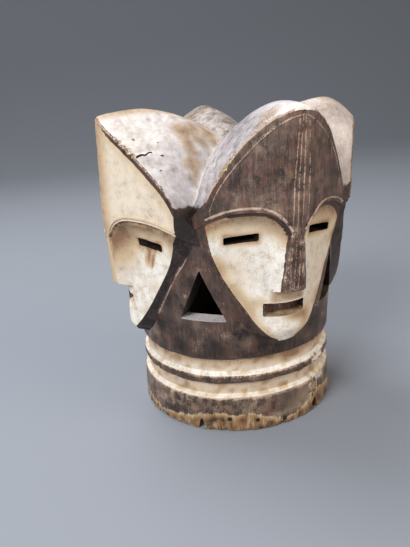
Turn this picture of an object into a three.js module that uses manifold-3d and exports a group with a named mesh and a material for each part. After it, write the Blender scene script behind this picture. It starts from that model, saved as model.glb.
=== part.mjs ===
// A four-faced helmet mask carved from one log: a round collar with two grooves,
// four long heart-shaped faces that lean out over it, a vaulted roof between them,
// pierced eyes, blind mouths and a triangular window under each seam.
// Millimetres, +Z up, the foot of the collar at z = 0, the front face towards -Y.
import * as THREE from "three";
import { mergeVertices } from "three/addons/utils/BufferGeometryUtils.js";
import Module from "manifold-3d";

const wasm = await Module();
wasm.setup();

// Collar and drum
const FOOT_RADIUS = 112;
const DRUM_TOP = 226;
const LEAN_FROM = 90; // the head leans a little to +X above this height
const LEAN = 0.042;

// Head cavity
const BORE_RADIUS = 93;
const BORE_TOP = 262;
const BORE_SHOULDER = 222;
const BORE_BULGE = 11; // how far the bore follows the faces at eye height

// Face surface: a softly keeled forehead and a flatter cheek plane behind it
const FOREHEAD = 150;
const KEEL_SLOPE = 0.75;
const KEEL_SOFT = 13.5;
const CHEEK = 126;
const CHEEK_SLOPE = 0.7;
const CHEEK_SOFT = 28;
const ORBIT_WALL = 0.5; // slope of the wall under the brow

// Roof: ridges that dip to the middle, over one arch
const RIDGE_TOP = 335;
const RIDGE_DIP = 44;
const RIDGE_REACH = 110;
const ROOF_BASE = 190;
const ROOF_OVER = 168;

// How far in from the axis the face solids start
const BACK = 62;

// Windows under the seams
const WINDOW_BASE = 126;
const WINDOW_TOP = 180;
const WINDOW_HALF = 25;

// Nose of a face: half width at tip and root, how deep its edges are bevelled, how far its
// tip is raked back
const USUAL_NOSE = { wide: 13, root: 6.5, bevel: 5, rake: 7 };
const LEFT_NOSE = { wide: 9.5, root: 7.5, bevel: 3, rake: 4.5 };
// Jaw of a face: how straight its outline runs to the chin and how pointed that leaves it (a
// lower bow is rounder), how fast its side walls spread
// towards the drum at the chin and at the brow and how far they may, how far and over what
// height the chin draws in, how much the mouth narrows upwards, how much fuller the outer cheeks
// stand
const USUAL_JAW = { taper: 0, bow: 0.55, low: 0.62, high: 0.31, flare: 12, jaw: 5, curl: 14, pinch: 0, full: 0 };
const LEFT_JAW = { taper: 0.8, bow: 0.6, low: 0.42, high: 0.75, flare: 3.5, jaw: 4, curl: 7, pinch: 10, full: 0 };

// The four faces: turn in degrees from -Y towards +X, how much lower each feature was cut,
// half width at the brow, sway of the jaw to the right, how straight the gable is,
// how far the roof sinks and its tip falls
const FRONT = { turn: 0, brow: 0, eye: 0, nose: 0, mouth: 0, chin: 0, half: 74.7 };
const RIGHT = { turn: 90, brow: 3, eye: 3, nose: 1, mouth: 1, chin: 2, half: 75 };
const REAR = { turn: 175, brow: 8, eye: 6, nose: 2, mouth: 2, chin: 4, half: 76 };
const LEFT = { turn: -90, brow: 13, eye: 11, nose: 6.5, mouth: 5, chin: 4.5, half: 82 };
const FACES = [
  { ...USUAL_NOSE, ...USUAL_JAW, ...FRONT, sway: 5, straight: 0, sink: 0, tip: 5.5 },
  { ...USUAL_NOSE, ...USUAL_JAW, ...RIGHT, rake: 4, full: 6, sway: 0, straight: 0.1, sink: 2, tip: 24 },
  { ...USUAL_NOSE, ...USUAL_JAW, ...REAR, sway: -2, straight: 0.3, sink: 5, tip: 5.5 },
  { ...LEFT_NOSE, ...LEFT_JAW, ...LEFT, sway: 0, straight: 1, sink: 0, tip: 5.5 },
];
// Each seam's window: turn of its middle
const WINDOWS = [-41, 45, 132.5, -137.5];

const rad = THREE.MathUtils.degToRad;
const clamp = THREE.MathUtils.clamp;
const lerp = THREE.MathUtils.lerp;
const ease = THREE.MathUtils.smoothstep;

// Point at s to the right on a face, r out from the axis and z up, for a face at this turn
function place(turn, s, r, z) {
  const a = rad(turn);
  return [
    r * Math.sin(a) + s * Math.cos(a),
    -r * Math.cos(a) + s * Math.sin(a),
    z,
  ];
}

// Closed solid from points and triangles, turned to face out
function solid(points, triangles) {
  const geometry = new THREE.BufferGeometry();
  geometry.setAttribute(
    "position",
    new THREE.Float32BufferAttribute(points.flat(), 3),
  );
  geometry.setIndex(triangles.flat());
  const merged = mergeVertices(geometry, 1e-3);
  const p = merged.attributes.position;
  const a = new THREE.Vector3();
  const b = new THREE.Vector3();
  const c = new THREE.Vector3();
  const kept = [];
  let volume = 0;
  for (let i = 0; i < merged.index.count; i += 3) {
    const t = [0, 1, 2].map((k) => merged.index.getX(i + k));
    if (t[0] === t[1] || t[1] === t[2] || t[2] === t[0]) continue;
    a.fromBufferAttribute(p, t[0]);
    b.fromBufferAttribute(p, t[1]);
    c.fromBufferAttribute(p, t[2]);
    volume += a.dot(b.cross(c)) / 6;
    kept.push(t);
  }
  const out = volume < 0 ? kept.map((t) => [t[0], t[2], t[1]]) : kept;
  return new wasm.Manifold(
    new wasm.Mesh({
      numProp: 3,
      vertProperties: new Float32Array(p.array),
      triVerts: new Uint32Array(out.flat()),
    }),
  );
}

// Solid between two grids of points with the same rows and columns
function slab(rows, columns, near, far) {
  const points = [];
  for (const side of [near, far]) {
    for (let j = 0; j <= rows; j++) {
      for (let i = 0; i <= columns; i++) {
        points.push(side(i / columns, j / rows));
      }
    }
  }
  const wide = columns + 1;
  const half = wide * (rows + 1);
  const at = (i, j) => j * wide + i;
  const triangles = [];
  const quad = (a, b, c, d) => triangles.push([a, b, c], [a, c, d]);
  for (let j = 0; j < rows; j++) {
    for (let i = 0; i < columns; i++) {
      const q = [at(i, j), at(i + 1, j), at(i + 1, j + 1), at(i, j + 1)];
      quad(...q);
      quad(half + q[3], half + q[2], half + q[1], half + q[0]);
    }
  }
  const rim = [];
  for (let i = 0; i < columns; i++) rim.push(at(i, 0));
  for (let j = 0; j < rows; j++) rim.push(at(columns, j));
  for (let i = columns; i > 0; i--) rim.push(at(i, rows));
  for (let j = rows; j > 0; j--) rim.push(at(0, j));
  rim.forEach((a, k) => {
    const b = rim[(k + 1) % rim.length];
    quad(b, a, half + a, half + b);
  });
  return solid(points, triangles);
}

// Solid whose level k is a closed ring of points, capped flat at both ends
function stack(levels, count, ring) {
  const points = [];
  levels.forEach((level) => {
    for (let i = 0; i < count; i++) points.push(ring(level, i / count));
  });
  const triangles = [];
  for (let k = 0; k < levels.length - 1; k++) {
    for (let i = 0; i < count; i++) {
      const a = k * count + i;
      const b = k * count + ((i + 1) % count);
      triangles.push([a, b, b + count], [a, b + count, a + count]);
    }
  }
  const last = (levels.length - 1) * count;
  for (let i = 1; i < count - 1; i++) {
    triangles.push([0, i + 1, i], [last, last + i, last + i + 1]);
  }
  return solid(points, triangles);
}

// Forehead line and the keeled surface to both sides of it
function forehead(face, s, z) {
  const tip = 162 - face.nose;
  const root = 222 - face.brow;
  let middle = FOREHEAD;
  if (z < root + 20) middle -= 2.5 * ease(root + 20 - z, 0, 20);
  if (z < root) middle -= (face.rake * (root - z)) / (root - tip);
  return middle - KEEL_SLOPE * (Math.hypot(s, KEEL_SOFT) - KEEL_SOFT);
}

// Height of the brow line above a point s off the middle
function browHeight(face, s) {
  const a = Math.max(Math.abs(s), 6.2);
  const wide = face.half - 37;
  const drop =
    a < 37
      ? 22.3 * ((37 - a) / 30.8) ** 2.35
      : 11.5 * ((a - 37) / wide) ** 2.2;
  return 244.3 - face.brow - drop;
}

// Cheeks, orbits and chin
function cheek(face, s, z) {
  const a = Math.abs(s);
  const plane = CHEEK - CHEEK_SLOPE * (Math.hypot(s, CHEEK_SOFT) - CHEEK_SOFT);
  const corner = 9 * ease(a, 33, face.half) * ease(z, 172, 232 - face.brow);
  const below = Math.max(0, browHeight(face, s) - 4 - z);
  const hollow = 6 * Math.exp(-below / 10) * (1 - ease(a, 42, 68));
  const foot = 104 - face.chin;
  const chin = face.jaw * (1 - ease(z, foot, foot + face.curl));
  const full = face.full * ease(a, 14, 40) * ease(z, 104, 150) * (1 - ease(z, 182, 212));
  const level = plane + corner + hollow + full - chin;
  return Math.min(level, forehead(face, s, z) - 2);
}

// Half width of a face at height z, round at the chin and straight above the brow corner
function halfWidth(face, z) {
  const foot = 104 - face.chin;
  const t = clamp((z - foot) / (233 - face.brow - foot), 0, 1);
  const bow = lerp(Math.sin((t * Math.PI) / 2), t, face.taper);
  return Math.max(10, face.half * bow ** (face.bow + 0.3 * t));
}

// Middle of the outline at height z: the jaw sways to one side
function middleOf(face, z) {
  return face.sway * (1 - ease(z, 115, 222));
}

// Half width of a face's side walls at height z where they reach the core
function backWidth(face, z) {
  const w = halfWidth(face, z);
  const spread = lerp(face.low, face.high, ease(z, 115, 225));
  return Math.min(w + spread * (cheek(face, w, z) - BACK), face.half + face.flare);
}

function ridge(face, r) {
  const out = r - RIDGE_REACH;
  const sink = face.sink * ease(r, 20, 90);
  return out < 0
    ? RIDGE_TOP - sink - RIDGE_DIP * (-out / RIDGE_REACH) ** 1.7
    : RIDGE_TOP - sink - face.tip * (out / 40) ** 2;
}

// Fall of the roof to both sides of a ridge, at s off the ridge and r out
function fall(face, s, r) {
  const a = Math.abs(s);
  const round = 0.1 * a + 0.01384 * a * a;
  const plain = 0.86 * a + 0.00235 * a * a;
  return lerp(round, plain, face.straight * ease(r, 62, 112));
}

function facePrism(face) {
  const foot = 104.5 - face.chin;
  const top = 256;
  const height = (v) => lerp(foot, top, v ** 1.15);
  return slab(
    13,
    14,
    (u, v) => {
      const z = height(v);
      const s = middleOf(face, z) + halfWidth(face, z) * (2 * u - 1);
      return place(face.turn, s, cheek(face, s, z), z);
    },
    (u, v) => {
      const z = height(v);
      const s = middleOf(face, z) + backWidth(face, z) * (2 * u - 1);
      return place(face.turn, s, BACK, z - (1 - v) * 12);
    },
  );
}

function foreheadPrism(face) {
  const top = 350;
  const low = (s) => browHeight(face, s) - 4;
  const across = (u) => {
    const k = 2 * u - 1;
    return face.half * Math.sign(k) * Math.abs(k) ** 1.15;
  };
  return slab(
    4,
    16,
    (u, v) => {
      const s = across(u);
      const z = lerp(low(s), top, v ** 1.7);
      return place(face.turn, s, forehead(face, s, z), z);
    },
    (u, v) => {
      const s = across(u);
      const front = forehead(face, s, low(s));
      const z = lerp(low(s) - ORBIT_WALL * (front - BACK), top, v ** 1.7);
      const grown = 1 + (0.31 * (front - BACK) * Math.abs(2 * u - 1)) / face.half;
      return place(face.turn, s * grown, BACK, z);
    },
  );
}

// Nose: a wedge flush with the forehead, bevelled edges, underside cut back to the lip
function nosePrism(face) {
  const tip = 162 - face.nose;
  const root = 240 - face.brow;
  const half = (z) => lerp(face.wide, face.root, ease(z, tip, root));
  const bevel = [-1, -0.62, 0, 0.62, 1];
  const sunk = [face.bevel, 0.8, 0.3, 0.8, face.bevel];
  const back = 100;
  return slab(
    7,
    4,
    (u, v) => {
      const z = lerp(tip, root, v);
      const k = Math.round(u * 4);
      const r = forehead(face, 0, z) - sunk[k] * (1 - 0.6 * v) - 1.6 * ease(v, 0.7, 1);
      return place(face.turn, middleOf(face, z) + half(z) * bevel[k], r, z);
    },
    (u, v) => {
      const z = lerp(tip, root, v);
      const k = Math.round(u * 4);
      const low = z - 0.24 * (140 - back) * (1 - ease(v, 0, 0.16));
      return place(face.turn, middleOf(face, z) + (half(z) + 11) * bevel[k], back, low);
    },
  );
}

// Raised line along one brow
function browBead(face, side) {
  const stations = Array.from({ length: 12 }, (_, i) => i);
  return stack(stations, 4, (i, f) => {
    const u = i / 11;
    const s = side * lerp(6.4, face.half - 0.3, u ** 1.1);
    const z = browHeight(face, s);
    const step = side * 0.5;
    const slope = (browHeight(face, s + step) - z) / 0.5;
    const size = Math.hypot(1, slope);
    const a = f * Math.PI * 2 + 0.3;
    const off = 1.7 * Math.cos(a);
    const ds = (-side * slope * off) / size;
    const dz = off / size;
    const r = forehead(face, s + ds, z + dz) - 0.5 + 1.7 * Math.sin(a);
    return place(face.turn, s + ds, r, z + dz);
  });
}

function roofPrism(face) {
  const half = 104;
  const across = (v) => {
    const k = 2 * v - 1;
    return half * Math.sign(k) * Math.abs(k) ** 1.1;
  };
  return slab(
    14,
    11,
    (u, v) => {
      const s = across(v);
      const r = lerp(-2, ROOF_OVER, u);
      return place(face.turn, s, r, Math.max(ROOF_BASE + 5, ridge(face, r) - fall(face, s, r)));
    },
    (u, v) => place(face.turn, across(v), lerp(-2, ROOF_OVER, u), ROOF_BASE),
  );
}

// One lobe of the head: the face with its share of the roof
function lobe(face) {
  const core = slab(
    1,
    1,
    (u, v) => place(face.turn, lerp(-66, 66, u), lerp(-1, 66, v), 60),
    (u, v) => place(face.turn, lerp(-66, 66, u), lerp(-1, 66, v), 349),
  );
  let head = facePrism(face).add(foreheadPrism(face)).add(nosePrism(face)).add(core);
  const high = roofPrism(face);
  const low = slab(
    1,
    1,
    (u, v) => place(face.turn, lerp(-125, 125, u), lerp(-2, 170, v), 50),
    (u, v) => place(face.turn, lerp(-125, 125, u), lerp(-2, 170, v), ROOF_BASE + 1),
  );
  head = head.intersect(high.add(low));
  return head.add(browBead(face, 1)).add(browBead(face, -1));
}

// Collar and drum, turned about the axis: two grooves with bevelled lower lips
function drum() {
  const profile = [
    [0, 0],
    [111, 0],
    [FOOT_RADIUS, 2],
    [110, 39.5],
    [105.2, 43],
    [105.4, 54],
    [109.6, 56.2],
    [109.4, 64.5],
    [105, 68],
    [105.2, 81.5],
    [109.2, 84.5],
    [109.6, LEAN_FROM],
    [110.5, 150],
    [113.8, DRUM_TOP],
    [0, DRUM_TOP],
  ].map(([x, y]) => new THREE.Vector2(x, y));
  const turned = new THREE.LatheGeometry(profile, 48);
  turned.deleteAttribute("normal");
  turned.deleteAttribute("uv");
  turned.rotateX(Math.PI / 2);
  const merged = mergeVertices(turned, 1e-3);
  const p = merged.attributes.position;
  const points = Array.from({ length: p.count }, (_, i) => [
    p.getX(i),
    p.getY(i),
    p.getZ(i),
  ]);
  const index = Array.from(merged.index.array);
  const triangles = [];
  for (let i = 0; i < index.length; i += 3) triangles.push(index.slice(i, i + 3));
  return solid(points, triangles);
}

// Hollow for the head, open at the foot, its sides following the faces
function bore() {
  const levels = [-2, 30, 62, 110, 142, 174, 205, BORE_SHOULDER];
  for (const t of [28, 52, 72, 85]) levels.push(BORE_SHOULDER + rad(t));
  return stack(levels, 32, (level, f) => {
    const a = f * 360;
    const dome = level > BORE_SHOULDER ? level - BORE_SHOULDER : 0;
    const z = dome
      ? BORE_SHOULDER + (BORE_TOP - BORE_SHOULDER) * Math.sin(dome)
      : level;
    const swell = BORE_BULGE * ease(z, 110, 205) * (0.5 + 0.5 * Math.cos(rad(4 * a)));
    const foot = 5 * (1 - ease(z, -2, 62));
    const r = (BORE_RADIUS - 2 + foot + swell) * (dome ? Math.cos(dome) : 1);
    return place(a, 0, r, z);
  });
}

// Straight-sided cutter through a wall: outline of [s, z] points from one depth to another,
// its sides slanting by skew per millimetre about the outside of the drum
function cutter(turn, outline, from, to, skew = 0) {
  return stack([from, to], outline.length, (r, f) => {
    const [s, z] = outline[Math.round(f * outline.length) % outline.length];
    return place(turn, s + skew * (r - FOOT_RADIUS), r, z);
  });
}

function eye(face, side) {
  const inner = 214.6 - face.eye;
  const outer = inner - 3.5;
  const height = 3.7;
  const outline = [
    [side * 27, inner - height],
    [side * 57, outer - height + 0.5],
    [side * 57.5, outer + height],
    [side * 27, inner + height],
  ];
  return cutter(face.turn, outline, 62, 160);
}

// Blind mouth: where it narrows upwards its floor also falls outwards
function mouth(face) {
  const z = 140 - face.mouth;
  const low = 22 - 0.4 * face.pinch;
  const high = 22 - 1.2 * face.pinch;
  const outline = [
    [-low, z - 5],
    [-8, z - 6.5],
    [10, z - 6.5],
    [low, z - 6],
    [high, z + 6],
    [-high, z + 7.5],
  ];
  const back = 111.5;
  return stack([back, 160], outline.length, (r, f) => {
    const [s, height] = outline[Math.round(f * outline.length) % outline.length];
    const drop = height < z ? 0.04 * face.pinch * (r - back) : 0;
    return place(face.turn, s, r, height - drop);
  });
}

function windowCut(turn) {
  const lean = 1.5;
  const outline = [
    [-WINDOW_HALF, WINDOW_BASE],
    [WINDOW_HALF, WINDOW_BASE],
    [WINDOW_HALF * 0.52, lerp(WINDOW_BASE, WINDOW_TOP, 0.42)],
    [-lean, WINDOW_TOP],
    [-WINDOW_HALF * 0.6, lerp(WINDOW_BASE, WINDOW_TOP, 0.42)],
  ];
  return cutter(turn, outline, 60, 140, -0.14);
}

// Breaks in the foot of the collar: turn, half width and height of each bite
const BITES = [
  { turn: -44, half: 2.2, high: 13 },
  { turn: 27, half: 5, high: 15 },
  { turn: -74, half: 6, high: 3.5 },
];

function bite({ turn, half, high }) {
  const outline = [
    [-half * 1.2, -2],
    [half * 1.3, -2],
    [half, high * 0.6],
    [half * 0.2, high],
    [-half * 0.9, high * 0.7],
  ];
  return cutter(turn, outline, 80, 125);
}

let body = drum();
for (const face of FACES) body = body.add(lobe(face));
body = body.subtract(bore());
for (const face of FACES) {
  body = body.subtract(eye(face, 1)).subtract(eye(face, -1)).subtract(mouth(face));
}
for (const turn of WINDOWS) body = body.subtract(windowCut(turn));
for (const at of BITES) body = body.subtract(bite(at));

// The head leans over the collar
const cut = body.getMesh();
const positions = new Float32Array(cut.numVert * 3);
for (let i = 0; i < cut.numVert; i++) {
  const [x, y, z] = [0, 1, 2].map((k) => cut.vertProperties[i * cut.numProp + k]);
  positions[3 * i] = x + LEAN * Math.max(0, z - LEAN_FROM);
  positions[3 * i + 1] = y;
  positions[3 * i + 2] = z;
}
const carved = new THREE.BufferGeometry();
carved.setAttribute("position", new THREE.BufferAttribute(positions, 3));
carved.setIndex(new THREE.BufferAttribute(new Uint32Array(cut.triVerts), 1));

// Both sides of the widest reach at equal distance from the axis
carved.computeBoundingBox();
const box = carved.boundingBox;
carved.translate(-(box.min.x + box.max.x) / 2, -(box.min.y + box.max.y) / 2, -box.min.z);
carved.computeVertexNormals();

const mask = new THREE.Mesh(
  carved,
  new THREE.MeshStandardMaterial({ color: 0x6b4a34, roughness: 0.8 }),
);
mask.name = "helmet_mask";

const part = new THREE.Group();
part.name = "fang_helmet_mask";
part.add(mask);

export default part;
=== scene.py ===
"""A four-faced helmet mask, carved from one log and painted: dark pigment, white clay, bare worn foot."""

import math
from types import SimpleNamespace

import bpy
import numpy as np
from mathutils import Matrix, Vector


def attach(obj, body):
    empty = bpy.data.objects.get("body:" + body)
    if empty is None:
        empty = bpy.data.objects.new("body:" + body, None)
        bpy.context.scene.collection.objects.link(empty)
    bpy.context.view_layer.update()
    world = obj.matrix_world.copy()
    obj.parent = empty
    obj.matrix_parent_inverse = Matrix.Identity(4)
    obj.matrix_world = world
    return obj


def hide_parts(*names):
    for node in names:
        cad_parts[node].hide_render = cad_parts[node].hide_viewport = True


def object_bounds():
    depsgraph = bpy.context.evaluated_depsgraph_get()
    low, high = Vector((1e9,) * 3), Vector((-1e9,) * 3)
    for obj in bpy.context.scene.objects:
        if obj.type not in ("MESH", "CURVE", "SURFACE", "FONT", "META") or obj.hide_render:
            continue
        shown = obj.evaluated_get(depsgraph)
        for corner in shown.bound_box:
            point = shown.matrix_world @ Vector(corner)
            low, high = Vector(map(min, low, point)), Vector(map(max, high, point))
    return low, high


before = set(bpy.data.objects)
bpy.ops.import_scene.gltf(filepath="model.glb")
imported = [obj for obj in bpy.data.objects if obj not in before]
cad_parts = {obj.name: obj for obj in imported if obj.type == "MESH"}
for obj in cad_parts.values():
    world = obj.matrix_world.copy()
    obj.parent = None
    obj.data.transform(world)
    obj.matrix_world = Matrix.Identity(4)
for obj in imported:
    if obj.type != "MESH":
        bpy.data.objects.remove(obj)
cad_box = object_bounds()

# All carving sizes are millimetres about the collar's axis, as in the part's source
MM = 0.001
COLLAR_MIDDLE = (-7.94, 0.285)
LEAN_FROM, LEAN = 90, 0.042  # the head leans a little to +X above this height
FOOT_RADIUS = 112
# Hollow: its radius, its top, where it starts to close and how far it bulges behind each face
BORE_RADIUS, BORE_TOP, BORE_SHOULDER, BORE_BULGE = 93, 262, 222, 11
# Keels of forehead and cheek: how far out they stand, their sides' slope, how softly they turn
FOREHEAD, KEEL_SLOPE, KEEL_SOFT = 150, 0.75, 13.5
CHEEK, CHEEK_SLOPE, CHEEK_SOFT = 126, 0.7, 28
ORBIT_WALL = 0.5  # slope of the wall under the brow
# Vaults: the ridge's height, its dip in the middle, and how far out it is highest
RIDGE_TOP, RIDGE_DIP, RIDGE_REACH = 335, 44, 110
# Pieces that trim the vaults: their underside, how far out they run, and a height above every roof
ROOF_BASE, ROOF_OVER, ABOVE = 190, 168, 352
BACK = 62  # how far out from the axis the face blocks start
WINDOW_BASE, WINDOW_TOP, WINDOW_HALF, WINDOW_SKEW = 126, 180, 25, -0.14
GOUGE = 14.3  # width of the gouge's marks in the hollow
CHAMFER = 0.9  # how much the knife took off each sharp edge
RIM_WEAR = 1.6  # handling has rounded the gables' rims more
FINE_GRAIN, PLAIN_GRAIN = 1.7, 2.6  # mesh width of the faces that show and of the two turned away

# Heights of the front face's features
CHIN, MOUTH, NOSE_TIP, EYE, NOSE_ROOT, BROW = 104, 140, 162, 214.6, 240, 244.3
BROW_EDGE = 4  # how far under its line the brow's edge hangs
BROW_PEAK = 37  # how far off the middle the brow is highest
EYE_NEAR, EYE_FAR = 27, 57  # where a slit starts and ends, off the middle
NOSE_BACK, NOSE_FLARE = 100, 11  # how deep the nose is set in, and how much it widens to each side
MOUTH_BACK = 111.5  # how far out the floor of the blind mouth lies
CLEAR_OUT = 160  # how far out the cutting tools reach, past any face

# Nose, jaw and gable of a face, as the part's source names them. fillet is the height over which its cheek
# runs into the nose and the brow
USUAL = dict(wide=13, root=6.5, bevel=5, rake=7, taper=0, bow=0.55, low=0.62, high=0.31, flare=12, jaw=5,
             curl=14, pinch=0, full=0, fillet=26, sway=0, straight=0, sink=0, tip=5.5)
# Turn of each face, how much lower its brow, eyes, nose, mouth and chin were cut, its half width, and what
# is its own
OWN = {
    "front": dict(turn=0, brow=0, eye=0, nose=0, mouth=0, chin=0, half=74.7, sway=5),
    "right": dict(turn=90, brow=3, eye=3, nose=1, mouth=1, chin=2, half=75, rake=4, full=6, straight=0.1,
                  sink=2, tip=24),
    "back": dict(turn=175, brow=8, eye=6, nose=2, mouth=2, chin=4, half=76, sway=-2, straight=0.3, sink=5),
    "left": dict(turn=-90, brow=13, eye=11, nose=6.5, mouth=5, chin=4.5, half=82, straight=1, wide=9.5,
                 root=7.5, bevel=3, rake=4.5, taper=0.8, bow=0.6, low=0.42, high=0.75, flare=3.5, jaw=4,
                 curl=7, pinch=10, fillet=38),
}
FACES = {name: SimpleNamespace(**{**USUAL, **own}) for name, own in OWN.items()}
WINDOWS = [-41, 45, 132.5, -137.5]  # turns of the windows, one under each seam


# The carved surfaces


def ease(x, a, b):
    """0 before a, 1 after b, smooth between."""
    t = np.clip((x - a) / (b - a), 0, 1)
    return t * t * (3 - 2 * t)


def lerp(a, b, t):
    return a + (b - a) * t


def place(turn, s, r, z):
    """Point s to the right on a face, r out from the axis and z up."""
    sine, cosine = math.sin(math.radians(turn)), math.cos(math.radians(turn))
    return np.stack(np.broadcast_arrays(r * sine + s * cosine, s * sine - r * cosine, z), -1)


def forehead(face, s, z):
    """How far out the forehead and the nose's back stand: a keel, raked back to the nose's tip."""
    tip, root = NOSE_TIP - face.nose, 222 - face.brow
    middle = FOREHEAD - 2.5 * ease(root + 20 - z, 0, 20) - face.rake * np.maximum(0, root - z) / (root - tip)
    return middle - KEEL_SLOPE * (np.hypot(s, KEEL_SOFT) - KEEL_SOFT)


def brow_height(face, s):
    a = np.maximum(np.abs(s), 6.2)
    inner = 22.3 * (np.maximum(BROW_PEAK - a, 0) / 30.8) ** 2.35
    outer = 11.5 * (np.maximum(a - BROW_PEAK, 0) / (face.half - BROW_PEAK)) ** 2.2
    return BROW - face.brow - inner - outer


def brow_edge(face, s):
    return brow_height(face, s) - BROW_EDGE


def cheek(face, s, z):
    """How far out the cheek stands: a flat keel, hollowed under the brow and drawn in at the chin."""
    a = np.abs(s)
    plane = CHEEK - CHEEK_SLOPE * (np.hypot(s, CHEEK_SOFT) - CHEEK_SOFT)
    corner = 9 * ease(a, 33, face.half) * ease(z, 172, 232 - face.brow)
    below = np.maximum(0, brow_edge(face, s) - z)
    hollow = 6 * np.exp(-below / 10) * (1 - ease(a, 42, 68))
    foot = CHIN - face.chin
    chin = face.jaw * (1 - ease(z, foot, foot + face.curl))
    full = face.full * ease(a, 14, 40) * ease(z, 104, 150) * (1 - ease(z, 182, 212))
    return np.minimum(plane + corner + hollow + full - chin, forehead(face, s, z) - 2)


def half_width(face, z):
    foot = CHIN - face.chin
    t = np.clip((z - foot) / (233 - face.brow - foot), 0, 1)
    bow = lerp(np.sin(t * math.pi / 2), t, face.taper)
    return np.maximum(10, face.half * bow ** (face.bow + 0.3 * t))


def middle_of(face, z):
    return face.sway * (1 - ease(z, 115, 222))


def blend(a, b, soft):
    """The higher of two surfaces, with the corner between them filled over this difference in height."""
    near = np.maximum(soft - np.abs(a - b), 0) / soft
    return np.maximum(a, b) + near * near * soft / 4


def nose_half(face, z):
    return lerp(face.wide, face.root, ease(z, NOSE_TIP - face.nose, NOSE_ROOT - face.brow))


def hollowed(face, s, z):
    """Cheek with soft corners where it runs into the nose and the brow's underside."""
    tip = NOSE_TIP - face.nose
    beside = np.abs(s - middle_of(face, z)) - nose_half(face, z)
    edge = forehead(face, 0, z) - face.bevel
    steep = (edge - NOSE_BACK) / NOSE_FLARE
    nose = edge - 0.5 - steep * np.maximum(beside, 0) - 4 * np.maximum(0, tip - z)
    low = brow_edge(face, s)
    orbit = forehead(face, s, low) - 0.5 - np.maximum(0, low - z) / ORBIT_WALL
    soft = face.fillet * (0.15 + 0.85 * ease(z, tip, tip + 22))
    filled = blend(blend(cheek(face, s, z), nose, soft), orbit, 0.8 * soft)
    return np.minimum(filled, forehead(face, s, z) - 2)


def back_width(face, z):
    """Half width of the side walls where they reach the drum."""
    w = half_width(face, z)
    spread = lerp(face.low, face.high, ease(z, 115, 225)) * (cheek(face, w, z) - BACK)
    return np.minimum(w + spread, face.half + face.flare)


def ridge(face, r):
    """Height of a vault's ridge, which dips to the roof's middle and falls again at its tip."""
    out = r - RIDGE_REACH
    sink = face.sink * ease(r, 20, 90)
    dip = RIDGE_DIP * (np.maximum(-out, 0) / RIDGE_REACH) ** 1.7
    return RIDGE_TOP - sink - dip - face.tip * (np.maximum(out, 0) / 40) ** 2


def fall(face, s, r):
    """How far the roof falls s off the ridge: arched, or straight towards a plain gable's rim."""
    a = np.abs(s)
    arched = 0.1 * a + 0.01384 * a * a
    plain = 0.86 * a + 0.00235 * a * a
    return lerp(arched, plain, face.straight * ease(r, 62, 112))


def roof_height(face, s, r):
    return np.maximum(ROOF_BASE + 5, ridge(face, r) - fall(face, s, r))


def rim_height(face, s):
    """Height at which a forehead meets the roof, at s off its middle."""
    z = np.full_like(s, 300.0)
    for _ in range(12):
        z = roof_height(face, s, forehead(face, s, z))
    return z


# Solids with zones


def zone(name):
    """Placeholder material that carries a zone's name through the cuts until the paint goes on."""
    return bpy.data.materials.get("zone " + name) or bpy.data.materials.new("zone " + name)


def blank(points, faces, zones):
    """Object in millimetres; zones holds one name for each face."""
    mesh = bpy.data.meshes.new("blank")
    mesh.from_pydata(points.reshape(-1, 3).tolist(), [], faces)
    names = sorted(set(zones))
    for name in names:
        mesh.materials.append(zone(name))
    slot = {name: i for i, name in enumerate(names)}
    mesh.polygons.foreach_set("material_index", [slot[name] for name in zones])
    mesh.validate()
    # A closed shell that encloses less than nothing is inside out
    mesh.calc_loop_triangles()
    t = values_of(mesh.vertices, "co", 3)[values_of(mesh.loop_triangles, "vertices", 3, int)]
    volume = np.einsum("ij,ij->i", t[:, 0], np.cross(t[:, 1], t[:, 2])).sum()
    if volume < 0:
        mesh.flip_normals()
    return linked("blank", mesh)


def values_of(items, name, width=1, kind=float):
    """One property of every point, corner or face, as an array."""
    values = np.zeros(len(items) * width, kind)
    items.foreach_get(name, values)
    return values.reshape(-1, width) if width > 1 else values


def linked(name, data):
    """New object in the scene."""
    piece = bpy.data.objects.new(name, data)
    bpy.context.scene.collection.objects.link(piece)
    return piece


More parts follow.
